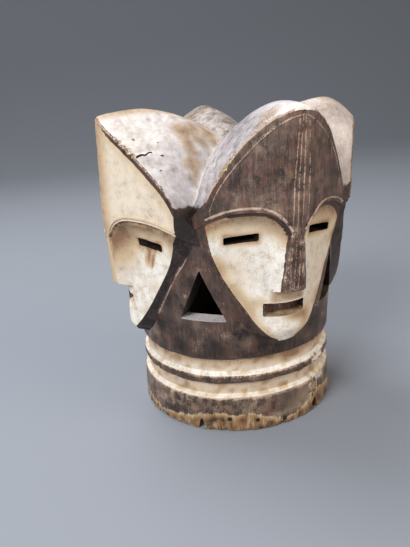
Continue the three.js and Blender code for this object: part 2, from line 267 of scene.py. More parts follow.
def slab(us, vs, near, far, steps, names, soft=CHAMFER):
    """Block between a carved skin and a hidden back. us and vs are the skin's columns and rows, steps the
    depths of the side walls, and names maps skin, low, right, top, left and back to zones; names["skin"] may
    be a function of column and row."""
    nu, nv = len(us), len(vs)
    u, v = np.meshgrid(us, vs)
    skin = near(u, v)
    back = far(u, v)
    ring = [(0, i) for i in range(nu - 1)] + [(j, nu - 1) for j in range(nv - 1)]
    ring += [(nv - 1, i) for i in range(nu - 1, 0, -1)] + [(j, 0) for j in range(nv - 1, 0, -1)]
    rows, cols = np.array(ring).T
    edge, end = skin[rows, cols], back[rows, cols]
    # The knife's chamfer moves the skin's border in; the wall's first step starts at the full outline
    inner = skin[np.clip(rows, 1, nv - 2), np.clip(cols, 1, nu - 2)]
    way = inner - edge
    length = np.linalg.norm(way, axis=1, keepdims=True)
    carved = skin.copy()
    carved[rows, cols] = edge + way * np.minimum(0.45, soft / np.maximum(length, 1e-6))
    depth = np.linalg.norm(end - edge, axis=1, keepdims=True)
    first = np.minimum(0.3, soft / depth)
    walls = [edge + (end - edge) * (first + (1 - first) * t) for t in steps[:-1]]
    points = np.concatenate([carved.reshape(-1, 3), back.reshape(-1, 3)] + walls)
    size, around = nu * nv, len(ring)
    faces, zones = [], []
    for j in range(nv - 1):
        for i in range(nu - 1):
            a = j * nu + i
            faces.append((a, a + 1, a + nu + 1, a + nu))
            zones.append(names["skin"](i, j) if callable(names["skin"]) else names["skin"])
            faces.append((size + a + nu, size + a + nu + 1, size + a + 1, size + a))
            zones.append(names["back"])
    sides = ["low"] * (nu - 1) + ["right"] * (nv - 1) + ["top"] * (nu - 1) + ["left"] * (nv - 1)
    flat = rows * nu + cols
    levels = [flat] + [2 * size + k * around + np.arange(around) for k in range(len(walls))] + [size + flat]
    for k in range(len(levels) - 1):
        for i in range(around):
            j = (i + 1) % around
            faces.append((levels[k][j], levels[k][i], levels[k + 1][i], levels[k + 1][j]))
            zones.append(names[sides[i]])
    faces = [tuple(int(x) for x in f) for f in faces]
    return blank(points, faces, zones)


def stack(rings, names):
    """Closed pile of rings, capped flat. names is one zone, or a list with one for each band and the two
    caps; a band's may be a function of the side."""
    count = len(rings[0])
    if isinstance(names, str):
        names = [names] * (len(rings) + 1)
    faces, zones = [], []
    for k, band in enumerate(names[:-2]):
        for i in range(count):
            a, b = k * count + i, k * count + (i + 1) % count
            faces.append((a, b, b + count, a + count))
            zones.append(band(i) if callable(band) else band)
    last = (len(rings) - 1) * count
    faces += [tuple(range(count))[::-1], tuple(range(last, last + count))]
    return blank(np.concatenate(rings), faces, zones + names[-2:])


def cut(body, tool, how="DIFFERENCE"):
    """Joins, cuts or trims body with tool, which is used up; faces keep their zones."""
    modifier = body.modifiers.new("cut", "BOOLEAN")
    modifier.solver, modifier.operation, modifier.material_mode = "MANIFOLD", how, "TRANSFER"
    modifier.object = tool
    settle(body)
    bpy.data.objects.remove(tool)
    return body


def settle(piece):
    """Turns what the piece's modifier makes into its plain mesh."""
    graph = bpy.context.evaluated_depsgraph_get()
    mesh = bpy.data.meshes.new_from_object(piece.evaluated_get(graph))
    piece.modifiers.clear()
    old, piece.data = piece.data, mesh
    bpy.data.meshes.remove(old)


def fractions(length, step, power=1.0):
    """Evenly stepped fractions from 0 to 1 for a run of this length."""
    return np.linspace(0, 1, max(2, round(length / step)) + 1) ** power


# The four faces


def cheek_block(name, face, grain):
    foot, top = CHIN + 0.5 - face.chin, 250
    height = lambda v: lerp(foot, top, v**1.1)

    def near(u, v):
        z = height(v)
        s = middle_of(face, z) + half_width(face, z) * (2 * u - 1)
        return place(face.turn, s, hollowed(face, s, z), z)

    def far(u, v):
        z = height(v)
        s = middle_of(face, z) + back_width(face, z) * (2 * u - 1)
        return place(face.turn, s, BACK + 0 * s, z - (1 - v) * 12)

    names = {"skin": name + " cheek", "back": "inside"}
    names.update({side: name + " side" for side in ("low", "right", "top", "left")})
    return slab(fractions(150, grain), fractions(146, grain), near, far, np.linspace(0, 1, 9), names)


def forehead_block(name, face, grain):
    def near(u, v):
        s = face.half * (2 * u - 1)
        low, rim = brow_edge(face, s), rim_height(face, s)
        # v runs to 1 at the rim's chamfer, then back under the roof
        z = np.where(v <= 1, lerp(low, rim - RIM_WEAR, np.minimum(v, 1)), rim + (v - 1) * 14)
        r = forehead(face, s, z) - np.where(v > 1, RIM_WEAR * 1.2, 0)
        return place(face.turn, s, r, z)

    def far(u, v):
        s = face.half * (2 * u - 1)
        low = brow_edge(face, s)
        deep = forehead(face, s, low) - BACK
        z = lerp(low - ORBIT_WALL * deep, ABOVE, np.minimum(v, 1))
        spread = 1 + 0.31 * deep * np.abs(2 * u - 1) / face.half
        return place(face.turn, s * spread, BACK + 0 * s, z + np.maximum(0, v - 1))

    rows = np.concatenate([fractions(100, grain), [1.04, 2.0]])
    names = {"skin": lambda i, j: name + (" rim" if j >= len(rows) - 3 else " forehead"), "back": "inside",
             "low": name + " orbit", "right": name + " side", "left": name + " side", "top": "inside"}
    return slab(fractions(150, grain), rows, near, far, np.linspace(0, 1, 13), names)


def nose_block(name, face, grain):
    tip, root = NOSE_TIP - face.nose, NOSE_ROOT - face.brow
    bevel = np.array([-1, -0.86, -0.68, -0.6, -0.3, 0, 0.3, 0.6, 0.68, 0.86, 1])

    def near(u, v):
        z = lerp(tip, root, v)
        k = np.interp(u, np.linspace(0, 1, len(bevel)), bevel)
        sunk = np.interp(np.abs(k), [0, 0.6, 0.68, 1], [0.3, 0.6, 1.1, face.bevel])
        r = forehead(face, 0, z) - sunk * (1 - 0.6 * v) - 1.6 * ease(v, 0.7, 1)
        return place(face.turn, middle_of(face, z) + nose_half(face, z) * k, r, z)

    def far(u, v):
        z = lerp(tip, root, v)
        k = np.interp(u, np.linspace(0, 1, len(bevel)), bevel)
        # Under its tip the nose slopes down inwards
        low = z - 9.6 * (1 - ease(v, 0, 0.16))
        s = middle_of(face, z) + (nose_half(face, z) + NOSE_FLARE) * k
        return place(face.turn, s, NOSE_BACK + 0 * z, low)

    names = {"skin": lambda i, j: name + (" bevel" if i < 3 or i > 6 else " nose"), "low": name + " lip",
             "right": name + " nose wall", "left": name + " nose wall", "top": "inside", "back": "inside"}
    return slab(np.linspace(0, 1, len(bevel)), fractions(78, grain * 1.6), near, far, np.linspace(0, 1, 13),
                names, soft=0.6)


def roof_block(name, face, grain):
    half = 104

    def near(u, v):
        s, r = half * (2 * v - 1), lerp(-2, ROOF_OVER, u)
        return place(face.turn, s, r, roof_height(face, s, r))

    def far(u, v):
        return place(face.turn, half * (2 * v - 1), lerp(-2, ROOF_OVER, u), ROOF_BASE + 0 * u)

    names = dict.fromkeys(("skin", "low", "right", "top", "left", "back"), name + " roof")
    return slab(fractions(170, grain), fractions(208, grain), near, far, np.linspace(0, 1, 2), names, soft=0)


def plain_block(turn, half, depth, low, high, name):
    """Rectangular block, half as wide as half to both sides of a face's middle."""
    corners = [place(turn, s, r, float(z)) for z in (low, high) for s, r in
               ((-half, depth[0]), (half, depth[0]), (half, depth[1]), (-half, depth[1]))]
    return stack([np.array(corners[:4]), np.array(corners[4:])], name)


def lobe(name, face, grain):
    """One face with its share of the roof: blocks on a core, all trimmed by the vault over them."""
    head = cheek_block(name, face, grain)
    cut(head, forehead_block(name, face, grain), "UNION")
    cut(head, nose_block(name, face, grain), "UNION")
    cut(head, plain_block(face.turn, 66, (-1, 66), 60, 349, "inside"), "UNION")
    over = roof_block(name, face, 3.2)
    cut(over, plain_block(face.turn, 125, (-2, 170), 50, ROOF_BASE + 1, "inside"), "UNION")
    return cut(head, over, "INTERSECT")


# Collar, hollow and cut-outs

# Outside of the collar from foot to drum: radius, height, zone of the band above it
COLLAR = [
    (110.6, 0, "foot"), (112, 1.6, "foot"), (111.3, 20, "collar"), (110.2, 38, "collar"),
    (109.7, 39.4, "low lip"), (105.5, 42.6, "low groove"), (105.2, 43.8, "low groove"),
    (105.3, 53.2, "low groove"), (105.8, 54.2, "ring under"), (109.1, 55.9, "ring under"),
    (109.6, 56.9, "ring"), (109.5, 63.4, "ring"), (109, 64.7, "top lip"), (105.3, 67.6, "top lip"),
    (105, 68.6, "top groove"), (105.1, 80.8, "top groove"), (105.6, 81.8, "drum under"),
    (108.8, 84.2, "drum under"), (109.4, 85.4, "drum"), (109.6, 90, "drum"), (110.5, 150, "drum"),
    (113.8, 226, "drum"),
]
WOBBLE = 0.55  # how far a hand-cut groove strays up and down


def drum():
    """Collar and drum, turned round the log by eye."""
    around, fine = 288, []
    for (r0, z0, band), (r1, z1, _) in zip(COLLAR, COLLAR[1:]):
        parts = max(1, round((z1 - z0) / 2.6))
        fine += [(lerp(r0, r1, k / parts), lerp(z0, z1, k / parts), band) for k in range(parts)]
    fine.append(COLLAR[-1])
    turned = np.radians(np.arange(around) * 360 / around)
    stray = WOBBLE * (np.sin(2 * turned + 1) + 0.6 * np.sin(5 * turned + 2.4) + 0.35 * np.sin(11 * turned))
    rings = []
    for r, z, _ in fine:
        lift = stray * ease(z, 30, 38) * (1 - ease(z, 84, 92))
        rings.append(np.stack([r * np.sin(turned), -r * np.cos(turned), z + lift], -1))
    names = [band for _, _, band in fine[:-1]] + ["foot", "inside"]
    return stack(rings, names)


def bore():
    """Hollow for the head, open at the foot, its sides following the faces."""
    levels = [(z, 1.0) for z in np.linspace(-2, BORE_SHOULDER, 32)]
    for t in np.radians((10, 20, 30, 40, 50, 60, 70, 78, 85)):
        levels.append((BORE_SHOULDER + (BORE_TOP - BORE_SHOULDER) * math.sin(t), math.cos(t)))
    angle = np.radians(np.arange(96) * 360 / 96)
    rings = []
    for z, shrink in levels:
        swell = BORE_BULGE * ease(float(z), 110, 205) * (0.5 + 0.5 * np.cos(4 * angle))
        foot = 5 * (1 - ease(float(z), -2, 62))
        r = (BORE_RADIUS - 2 + foot + swell) * shrink
        rings.append(np.stack([r * np.sin(angle), -r * np.cos(angle), z + 0 * r], -1))
    return stack(rings, "hollow")


def cutter(turn, outline, depths, names, skew=0.0):
    """Straight-sided tool through a wall: an outline of (s, z) from one depth to another."""
    s, z = np.array(outline, float).T
    return stack([place(turn, s + skew * (r - FOOT_RADIUS), r + 0 * s, z) for r in depths], names)


def rounded(corners, radius, parts=3):
    """Outline with its corners rounded."""
    corners = np.array(corners, float)
    result = []
    for i, here in enumerate(corners):
        before, after = corners[i - 1], corners[(i + 1) % len(corners)]
        reach = min(radius, 0.45 * np.linalg.norm(before - here), 0.45 * np.linalg.norm(after - here))
        a = here + (before - here) / np.linalg.norm(before - here) * reach
        b = here + (after - here) / np.linalg.norm(after - here) * reach
        for k in range(parts + 1):
            t = k / parts
            result.append((1 - t) ** 2 * a + 2 * t * (1 - t) * here + t * t * b)
    return np.array(result)


def eye(face, side):
    inner = EYE - face.eye
    outer, tall = inner - 3.5, 3.7
    outline = [(side * EYE_NEAR, inner - tall), (side * EYE_FAR, outer - tall + 0.5),
               (side * (EYE_FAR + 0.5), outer + tall), (side * EYE_NEAR, inner + tall)]
    return cutter(face.turn, rounded(outline, 1.6), (BACK, CLEAR_OUT), "eye cut")


def mouth(name, face):
    """Blind mouth. Where it narrows upwards, its floor also slopes down outwards."""
    z = MOUTH - face.mouth
    low, high = 22 - 0.4 * face.pinch, 22 - 1.2 * face.pinch
    outline = rounded([(-low, z - 5), (-8, z - 6.5), (10, z - 6.5), (low, z - 6), (high, z + 6),
                       (-high, z + 7.5)], 1.2)
    floor_rows = outline[:, 1] < z
    count = len(outline)
    band = lambda i: name + (" mouth floor" if floor_rows[i] and floor_rows[(i + 1) % count] else " mouth")
    drop = floor_rows * 0.04 * face.pinch
    rings = [place(face.turn, outline[:, 0], r + 0 * outline[:, 0], outline[:, 1] - drop * (r - MOUTH_BACK))
             for r in np.linspace(MOUTH_BACK, CLEAR_OUT, 13)]
    return stack(rings, [band] * 12 + [name + " mouth"] * 2)


def window(turn):
    high = lerp(WINDOW_BASE, WINDOW_TOP, 0.42)
    outline = [(-WINDOW_HALF, WINDOW_BASE), (WINDOW_HALF, WINDOW_BASE), (WINDOW_HALF * 0.52, high),
               (-1.5, WINDOW_TOP), (-WINDOW_HALF * 0.6, high)]
    outline = rounded(outline, 2.0)

    def side(i):
        ends = max(outline[i][1], outline[(i + 1) % len(outline)][1])
        return "sill" if ends < WINDOW_BASE + 1.2 else "window cut"

    return cutter(turn, outline, np.linspace(60, 140, 9), [side] * 8 + ["window cut"] * 2, WINDOW_SKEW)


# Breaks in the foot of the collar: turn, half width and height of each bite
BITES = [(-44, 2.2, 13), (27, 5, 15), (-74, 6, 3.5)]


def bite(turn, half, high):
    outline = [(-half * 1.2, -2), (half * 1.3, -2), (half, high * 0.6), (half * 0.2, high),
               (-half * 0.9, high * 0.7)]
    return cutter(turn, rounded(outline, 1.2), (80, 95, 125), "break")


def carve():
    body = drum()
    for name, face in FACES.items():
        cut(body, lobe(name, face, FINE_GRAIN if name in ("front", "left") else PLAIN_GRAIN), "UNION")
    cut(body, bore())
    for name, face in FACES.items():
        for side in (1, -1):
            cut(body, eye(face, side))
        cut(body, mouth(name, face))
    for turn in WINDOWS:
        cut(body, window(turn))
    for at in BITES:
        cut(body, bite(*at))
    return body


# Node trees


def colour(code):
    """sRGB hex to linear RGBA."""
    parts = [int(code[i:i + 2], 16) / 255 for i in (1, 3, 5)]
    return [c / 12.92 if c <= 0.04045 else ((c + 0.055) / 1.055) ** 2.4 for c in parts] + [1.0]


def add(group, kind, inputs=None, **settings):
    """A node with its settings; each input is another node's output, a hex colour or a plain value."""
    node = group.nodes.new(kind)
    for key, value in settings.items():
        setattr(node, key, value)
    for key, value in (inputs or {}).items():
        if isinstance(value, bpy.types.NodeSocket):
            group.links.new(value, node.inputs[key])
        else:
            is_colour = isinstance(value, str) and value.startswith("#")
            node.inputs[key].default_value = colour(value) if is_colour else value
    return node


# Lines and holes, made by Geometry Nodes trees with named sizes


def tree(name, inputs, build):
    """Geometry Nodes group: geometry in and out, and named inputs of (kind, name, value)."""
    group = bpy.data.node_groups.new(name, "GeometryNodeTree")
    for way in ("INPUT", "OUTPUT"):
        group.interface.new_socket("Geometry", in_out=way, socket_type="NodeSocketGeometry")
    for kind, label, value in inputs:
        socket = group.interface.new_socket(label, in_out="INPUT", socket_type="NodeSocket" + kind)
        if value is not None:
            socket.default_value = value
    given, made = group.nodes.new("NodeGroupInput").outputs, group.nodes.new("NodeGroupOutput")
    real = add(group, "GeometryNodeRealizeInstances", {"Geometry": build(group, given)})
    dressed = add(group, "GeometryNodeSetMaterial", {"Geometry": real.outputs[0], "Material": given["Zone"]})
    group.links.new(dressed.outputs[0], made.inputs[0])
    return group


def swept_bar(group, given):
    """A round bar along a drawn line: the gouge's path, or a raised line left standing."""
    line = add(group, "GeometryNodeMeshToCurve", {"Mesh": given[0]})
    even = add(group, "GeometryNodeResampleCurve", {"Curve": line.outputs[0], "Length": given["Step"]},
               mode="LENGTH")
    section = add(group, "GeometryNodeCurvePrimitiveCircle",
                  {"Resolution": given["Sides"], "Radius": given["Radius"]})
    bar = add(group, "GeometryNodeCurveToMesh",
              {"Curve": even.outputs[0], "Profile Curve": section.outputs[0], "Fill Caps": True})
    return bar.outputs[0]


def bored_holes(group, given):
    """A round bit at each marked point, along the mark's aim, each of its own size."""
    bit = add(group, "GeometryNodeMeshCone", {"Vertices": 10, "Radius Bottom": given["Radius"],
                                              "Radius Top": given["Radius"], "Depth": given["Depth"]})
    aim = add(group, "GeometryNodeInputNamedAttribute", {"Name": "aim"}, data_type="FLOAT_VECTOR")
    turned = add(group, "FunctionNodeAlignRotationToVector", {"Vector": aim.outputs[0]}, axis="Z")
    size = add(group, "FunctionNodeRandomValue", {2: 0.7, 3: 1.15, "Seed": given["Seed"]}, data_type="FLOAT")
    marks = add(group, "GeometryNodeMeshToPoints", {"Mesh": given[0]})
    placed = add(group, "GeometryNodeInstanceOnPoints",
                 {"Points": marks.outputs[0], "Instance": bit.outputs[0], "Rotation": turned.outputs[0],
                  "Scale": size.outputs[1]})
    return placed.outputs[0]


def grown(group, points, edges, zone_name, aims=None, **sizes):
    """Runs a tree on marked points or a drawn line and gives the plain mesh as an object."""
    mesh = bpy.data.meshes.new("marks")
    mesh.from_pydata(np.asarray(points, float).tolist(), edges, [])
    if aims is not None:
        layer = mesh.attributes.new("aim", "FLOAT_VECTOR", "POINT")
        layer.data.foreach_set("vector", np.asarray(aims, float).ravel())
    piece = linked("marks", mesh)
    modifier = piece.modifiers.new("tool", "NODES")
    modifier.node_group = group
    sizes["Zone"] = zone(zone_name)
    for item in group.interface.items_tree:
        if item.in_out == "INPUT" and item.name in sizes:
            modifier[item.identifier] = sizes[item.name]
    piece.update_tag()
    settle(piece)
    return piece


def on_forehead(face, s, z, lift=0.0):
    s, z = np.asarray(s, float), np.asarray(z, float)
    return place(face.turn, s, forehead(face, s, z) + lift, z)


def on_roof(face, s, r):
    return place(face.turn, s, r, float(roof_height(face, s, float(r))))


def brow_line(face, side):
    """Path of the raised line along one brow."""
    s = side * lerp(6.4, face.half - 0.6, np.linspace(0, 1, 90))
    return on_forehead(face, s, brow_height(face, s), -0.1)


def smoothed(corners, rounds=3):
    """Line through the corners with each corner cut off again and again."""
    line = np.array(corners, float)
    for _ in range(rounds):
        here, there = line[:-1], line[1:]
        cuts = np.stack([0.75 * here + 0.25 * there, 0.25 * here + 0.75 * there], 1)
        line = np.concatenate([line[:1], cuts.reshape(-1, 2), line[-1:]])
    return line


def drawn(face, corners):
    """Path on the forehead and nose through (s, z) corners."""
    s, z = smoothed(corners).T
    return on_forehead(face, s, z, 0.15 - 0.35 * (z < 240))


# Lines of the front face as (s, z): the arch inside the rim, then four midline strokes from the nose up
INCISED = [
    [(-71.3, 241.6), (-68.1, 252.6), (-62.8, 265.2), (-53.8, 279.1), (-43.7, 292.6), (-33.8, 304.8),
     (-22.6, 315), (-12.6, 320.9), (-4.1, 323.3), (2, 323.6), (15.7, 316.5), (27, 308.5), (38.6, 299.5),
     (50.1, 287.2), (59, 272), (65.5, 257), (69.5, 243)],
    [(-4.6, 163.5), (-5.2, 195), (-7.2, 224), (-7.8, 260), (-4.6, 321)],
    [(-0.4, 163.5), (-1.0, 195), (-3.2, 224), (-4.0, 260), (-1.8, 322.5)],
    [(3.9, 163.5), (2.9, 195), (0.9, 224), (1.5, 260), (0.9, 322.5)],
    [(8.2, 163.5), (7.4, 195), (6.6, 224), (8.6, 260), (5.2, 318)],
]
# Split in the left roof as (s, r)
SPLIT = [(45.6, 121.5), (44.4, 116), (45.1, 112), (43.4, 108.5), (43.8, 105)]
# Beetle holes in the left roof as (s, r), and in the foot as (turn, z)
ROOF_HOLES = [(31.4, 120.2), (37.1, 97.3), (48.0, 96.4), (58.5, 101.1)]
FOOT_HOLES = [(-27.7, 15.3), (-12.4, 12.1), (3.4, 7.6)]
# Chips: along each face's rim as (s, size), and in the collar as (turn, z, size)
RIM_CHIPS = {
    "left": [(26, 2.0), (31, 3.0), (35.5, 2.6), (39.8, 3.7), (44.5, 3.1), (57, 1.3), (70, 1.6)],
    "front": [(-59, 3.6), (-55.5, 3.0), (-62.5, 3.0), (-52, 2.3), (-65.5, 2.0), (-30, 1.2), (41, 1.7)],
    "right": [(20, 1.8), (-46, 1.6)],
    "back": [(33, 2.0), (-12, 1.6)],
}
COLLAR_CHIPS = [
    (31, 66, 3.2), (27.5, 63.5, 2.1), (34.5, 57, 2.8), (24, 65, 1.5), (22.5, 74, 1.6), (30.5, 47, 2.4),
    (26, 40.5, 2.2), (36, 40, 2.0), (23, 23, 2.6), (25.5, 19, 2.2), (-21, 64, 1.5), (-34, 39.6, 1.0),
    (-57, 39.5, 1.4), (-72, 64.5, 1.2), (9, 64.8, 1.3), (-5, 39.6, 1.2), (80, 64, 2.0), (120, 39.5, 2.2),
    (160, 64.6, 1.8), (-150, 39.6, 1.9), (-120, 64.4, 1.5), (-83, 3, 3.0), (-78, 8, 2.2),
]


def chip(body, centre, size, seed):
    """Irregular bit broken out of the wood."""
    draw = np.random.default_rng(seed)
    rings = []
    for level in np.linspace(-0.85, 0.85, 5):
        around = np.radians(np.arange(9) * 40 + draw.uniform(-9, 9, 9))
        radius = size * math.sqrt(1 - level * level) * draw.uniform(0.7, 1.2, 9)
        ring = [radius * np.cos(around), radius * np.sin(around), 0 * radius + level * size]
        rings.append(centre + np.stack(ring, -1))
    cut(body, stack(rings, "chip"))


def lines(body):
    """Brow lines left standing, the front face's incised lines and the roof's split."""
    bar = tree("swept bar", [("Float", "Radius", 1.0), ("Float", "Step", 2.0), ("Int", "Sides", 8),
                             ("Material", "Zone", None)], swept_bar)

    def along(path, zone_name, how="DIFFERENCE", **sizes):
        edges = [(i, i + 1) for i in range(len(path) - 1)]
        cut(body, grown(bar, path, edges, zone_name, **sizes), how)

    for name, face in FACES.items():
        for side in (1, -1):
            along(brow_line(face, side), name + " brow", "UNION", Radius=1.5, Step=1.6, Sides=10)
    for corners in INCISED:
        along(drawn(FACES["front"], corners), "front incised", Radius=0.5, Step=1.6, Sides=6)
    split = np.array([on_roof(FACES["left"], s, r) for s, r in SPLIT])
    along(split, "split", Radius=0.85, Step=1.5, Sides=5)


def beetle_holes(body):
    bits = tree("bored holes", [("Float", "Radius", 1.0), ("Float", "Depth", 6.0), ("Int", "Seed", 3),
                                ("Material", "Zone", None)], bored_holes)
    left = FACES["left"]
    at = [on_roof(left, s, r) for s, r in ROOF_HOLES]
    aims = [place(left.turn, 0.9, 0.0, 1.0)] * len(ROOF_HOLES)
    cut(body, grown(bits, at, [], "hole", aims, Radius=1.5, Depth=9.0, Seed=4))
    at = [place(turn, 0.0, 111.4, z) for turn, z in FOOT_HOLES]
    aims = [place(turn, 0.0, 1.0, 0.0) for turn, _ in FOOT_HOLES]
    cut(body, grown(bits, at, [], "hole", aims, Radius=2.3, Depth=9.0, Seed=4))


def chips(body):
    rims = [(FACES[name], s, size) for name, row in RIM_CHIPS.items() for s, size in row]
    for seed, (face, s, size) in enumerate(rims):
        z = rim_height(face, np.array([float(s)]))[0]
        chip(body, on_forehead(face, s, z, -0.3 * size) + [0, 0, 0.25 * size], size, seed)
    for seed, (turn, z, size) in enumerate(COLLAR_CHIPS, 50):
        chip(body, place(turn, 0.0, 110.4, float(z)), size, seed)


# Paint fields: how much clay, bare wood, dirt, blue-grey wash, soot and wear each zone carries.
# Dirt and soot also carry painted shade, and wear carries painted highlights

FIELDS = ("clay", "bare", "dirt", "wash", "soot", "worn")
DARK_FACES = ("front", "right")
# Even coats: each zone's share of each field
EVEN = {
    "dark nose": dict(worn=0.26), "pale nose": dict(clay=0.8, worn=0.2, dirt=0.45),
    # Undersides of the noses: dirt and painted shade
    "dark lip": dict(clay=0.6, dirt=1.0, soot=0.4), "pale lip": dict(clay=0.8, dirt=0.7),
    "dark bevel": dict(worn=0.24, bare=0.36, wash=0.4), "pale bevel": dict(clay=0.7, bare=0.4, dirt=0.4),
    # Brows: their pale worn colour also paints the lit top of the raised line as a highlight
    "dark brow": dict(worn=0.6), "pale brow": dict(clay=0.75, dirt=0.35, worn=0.2),
    "dark rim": dict(worn=0.72), "pale rim": dict(worn=0.42, soot=0.1),
    "dark forehead": dict(bare=0.12), "pale forehead": dict(dirt=0.2), "dark incised": dict(worn=0.54),
    "dark roof": dict(clay=0.92, wash=0.7), "pale roof": dict(clay=0.92, wash=0.7),
    # Mouth walls darkened with painted shade in the recess; the floors paler
    "dark mouth": dict(bare=0.35, soot=0.3), "dark mouth floor": dict(bare=0.95, dirt=0.12),
    "pale mouth": dict(clay=0.5, dirt=0.9, soot=0.3), "pale mouth floor": dict(clay=1.0, dirt=0.2),
    "top lip": dict(clay=1.0, worn=0.1), "low lip": dict(clay=0.92, worn=0.22, dirt=0.1),
    "top groove": dict(clay=1.0, dirt=0.2, wash=0.25), "low groove": dict(clay=0.9, dirt=0.3, wash=0.35),
    # Undersides of the ring and of the drum's edge: painted shade
    "ring under": dict(soot=0.55), "drum under": dict(soot=0.4), "drum": dict(worn=0.18, soot=0.32),
    "foot": dict(bare=0.16, worn=0.17, wash=0.55), "collar": dict(bare=0.16, worn=0.17, wash=0.55),
    # Walls of windows and eye slits, beetle holes and the split: near black with painted shade
    "sill": dict(clay=0.25, wash=0.8, worn=0.2), "window cut": dict(soot=0.85), "eye cut": dict(soot=0.9),
    "hole": dict(soot=1.0), "split": dict(soot=0.9), "chip": dict(bare=1.0),
    "break": dict(bare=1.0, dirt=0.7, soot=0.2),
}
# Ragged top of the bare foot, as (turn, z)
FOOT_EDGE = [(-180, 9), (-150, 14), (-120, 8), (-87, 14), (-74, 7), (-64, 10), (-51, 13), (-40, 19),
             (-33, 22), (-25, 18), (-17, 20), (-8, 14), (-1, 9), (7, 7), (16, 11), (22, 16), (31, 22),
             (44, 19), (60, 9), (95, 13), (130, 8), (180, 9)]
# Crease between the left face's side wall and the drum, as (z, turn)
CREASE = [(115, -74), (122, -72), (139, -66), (151, -61), (165, -56), (179, -52), (193, -47), (207, -44),
          (240, -43)]
# Drum radius by height, as the collar's list has it
DRUM_RADIUS = [(85, 109.4), (150, 110.5), (226, 113.8)]
# Brown stains on the left roof: strength, middle as (s, r), reach along s and r
ROOF_STAINS = [(0.5, 28, 67, 9, 13), (0.4, 22, 45, 10, 12), (0.45, 46, 62, 10, 10), (0.4, 58, 71, 7, 8),
               (0.4, 29, 32, 16, 14)]


def waves(p, length, seed, count=28):
    """Smooth uneven field of about this wavelength, mostly between -1 and 1."""
    draw = np.random.default_rng(seed)
    way = draw.normal(size=(count, 3))
    way *= (2 * math.pi / length) / np.linalg.norm(way, axis=1, keepdims=True)
    way *= draw.uniform(0.6, 1.4, (count, 1))
    return np.sin(p @ way.T + draw.uniform(0, 2 * math.pi, count)).sum(1) / math.sqrt(count)


def read_off(table, x):
    """Value at x on the straight runs between a table's pairs."""
    return np.interp(x, *np.array(table, float).T)


def local(face, p):
    """Points as a face's own s, r and z."""
    sine, cosine = math.sin(math.radians(face.turn)), math.cos(math.radians(face.turn))
    x, y, z = p.T
    return x * cosine + y * sine, x * sine - y * cosine, z


def spot(x, y, x0, y0, size, tall=None):
    """1 in the middle of a soft patch, fading to 0 over its size."""
    return np.exp(-((x - x0) / size) ** 2 - ((y - y0) / (tall or size)) ** 2)


def rim_distance(face, s, z):
    """How far below the gable's rim a point of the forehead lies."""
    table = np.linspace(-face.half, face.half, 301)
    rim = rim_height(face, table)
    slope = np.gradient(rim, table)
    return (np.interp(s, table, rim) - z) / np.hypot(1, np.interp(s, table, slope))


def clay_behind_brow(at):
    """On the dark faces the clay starts a little behind the brow's edge, closer to it at the left end."""
    deep = forehead(at.face, at.s, brow_edge(at.face, at.s)) - at.r
    start = lerp(3.5, 0.6, ease(-at.s, 40, 62))
    return ease(deep, start, start + 2.5)


def seam_shade(at):
    """Painted shade on the left face's side wall, up to its crease with the drum."""
    return 0.42 * (1 - ease(at.turn - read_off(CREASE, at.z), -3, 9))


def coat_cheek(paint, at):
    who, face, s, z = at.who, at.face, at.s, at.z
    middle = s - middle_of(face, z)
    inside = (half_width(face, z) - np.abs(middle)) * 0.85
    low = brow_edge(face, s)
    # Dirt round the eye's slit, painted shade with dirt under the brow, and dirt along the cheek's edge
    beside_slit = np.maximum(np.maximum(EYE_NEAR - np.abs(s), np.abs(s) - EYE_FAR), 0)
    slit = np.hypot(beside_slit, np.maximum(np.abs(z + face.eye - EYE + 1.6) - 4, 0))
    paint.dirt += 0.6 * np.exp(-slit / 2.2) + 0.85 * (1 - ease(low - z, -4, 28))
    paint.dirt += 0.5 * (1 - ease(inside, 0, 15)) * np.clip(0.4 + 0.6 * waves(at.p, 30, 9), 0, 1)
    if who in DARK_FACES:
        # The dark edge left round the clay widens upwards, more so on the right face
        band = 0.3 + 1.9 * ease(z, 118, 145) + 6 * ease(z, 165, 190) * (who == "right")
        band = lerp(band, 0.8, ease(z, 212, 228) * (who == "front"))
        paint.clay += ease(inside, band - 0.9, band + 0.9) * clay_behind_brow(at)
        paint.worn += 0.8 * np.exp(-inside / 0.8)
        # Stains beside the chin and the mouth, and on the outer cheeks
        paint.dirt += 0.45 * spot(s, z, 25, 124, 9, 12) + 0.3 * spot(s, z, -26, 148, 12, 7)
        paint.dirt += 0.18 * ease(s, 14, 34) + 0.22 * spot(s, z, -50, 175, 20, 30)
        # Painted shadow of the nose on the strip between nose and mouth, and the stain that runs out of the
        # mouth
        strip = ease(z, 146, 150) * (1 - ease(z, 160, 164)) * (1 - ease(np.abs(middle), 14, 22))
        paint.dirt += 0.55 * strip + 0.7 * spot(middle, z, 8, 131, 13, 5)
        paint.wash += 0.6 * strip
    else:
        paint.clay += 0.7 + 0.3 * ease(inside, 0.5, 2)
        paint.worn += 0.3 * np.exp(-inside / 0.8)
    if who == "left":
        # The tear stain under the eye widens upwards; a thin run lies beside it, and a broad patch by the
        # nose is stain and painted shade
        tear = np.abs(s - np.interp(z, [174, 197], [40.3, 43.5])) - np.interp(z, [174, 197], [1.5, 6])
        streaks = 0.8 + 0.35 * waves(at.p * [1, 1, 0.2], 5, 13)
        along = ease(z, 172, 182) * (1 - ease(z, 198, 203))
        paint.dirt += 0.95 * streaks * (1 - ease(tear, -2, 2.5)) * along
        paint.dirt += 0.5 * spot(s, z, 35.5, 186, 2.2, 8) + 0.55 * spot(s, z, 8, 198, 17, 28)
        # Painted shade under the brow
        paint.soot += 0.4 * (1 - ease(low - z, -2, 22))


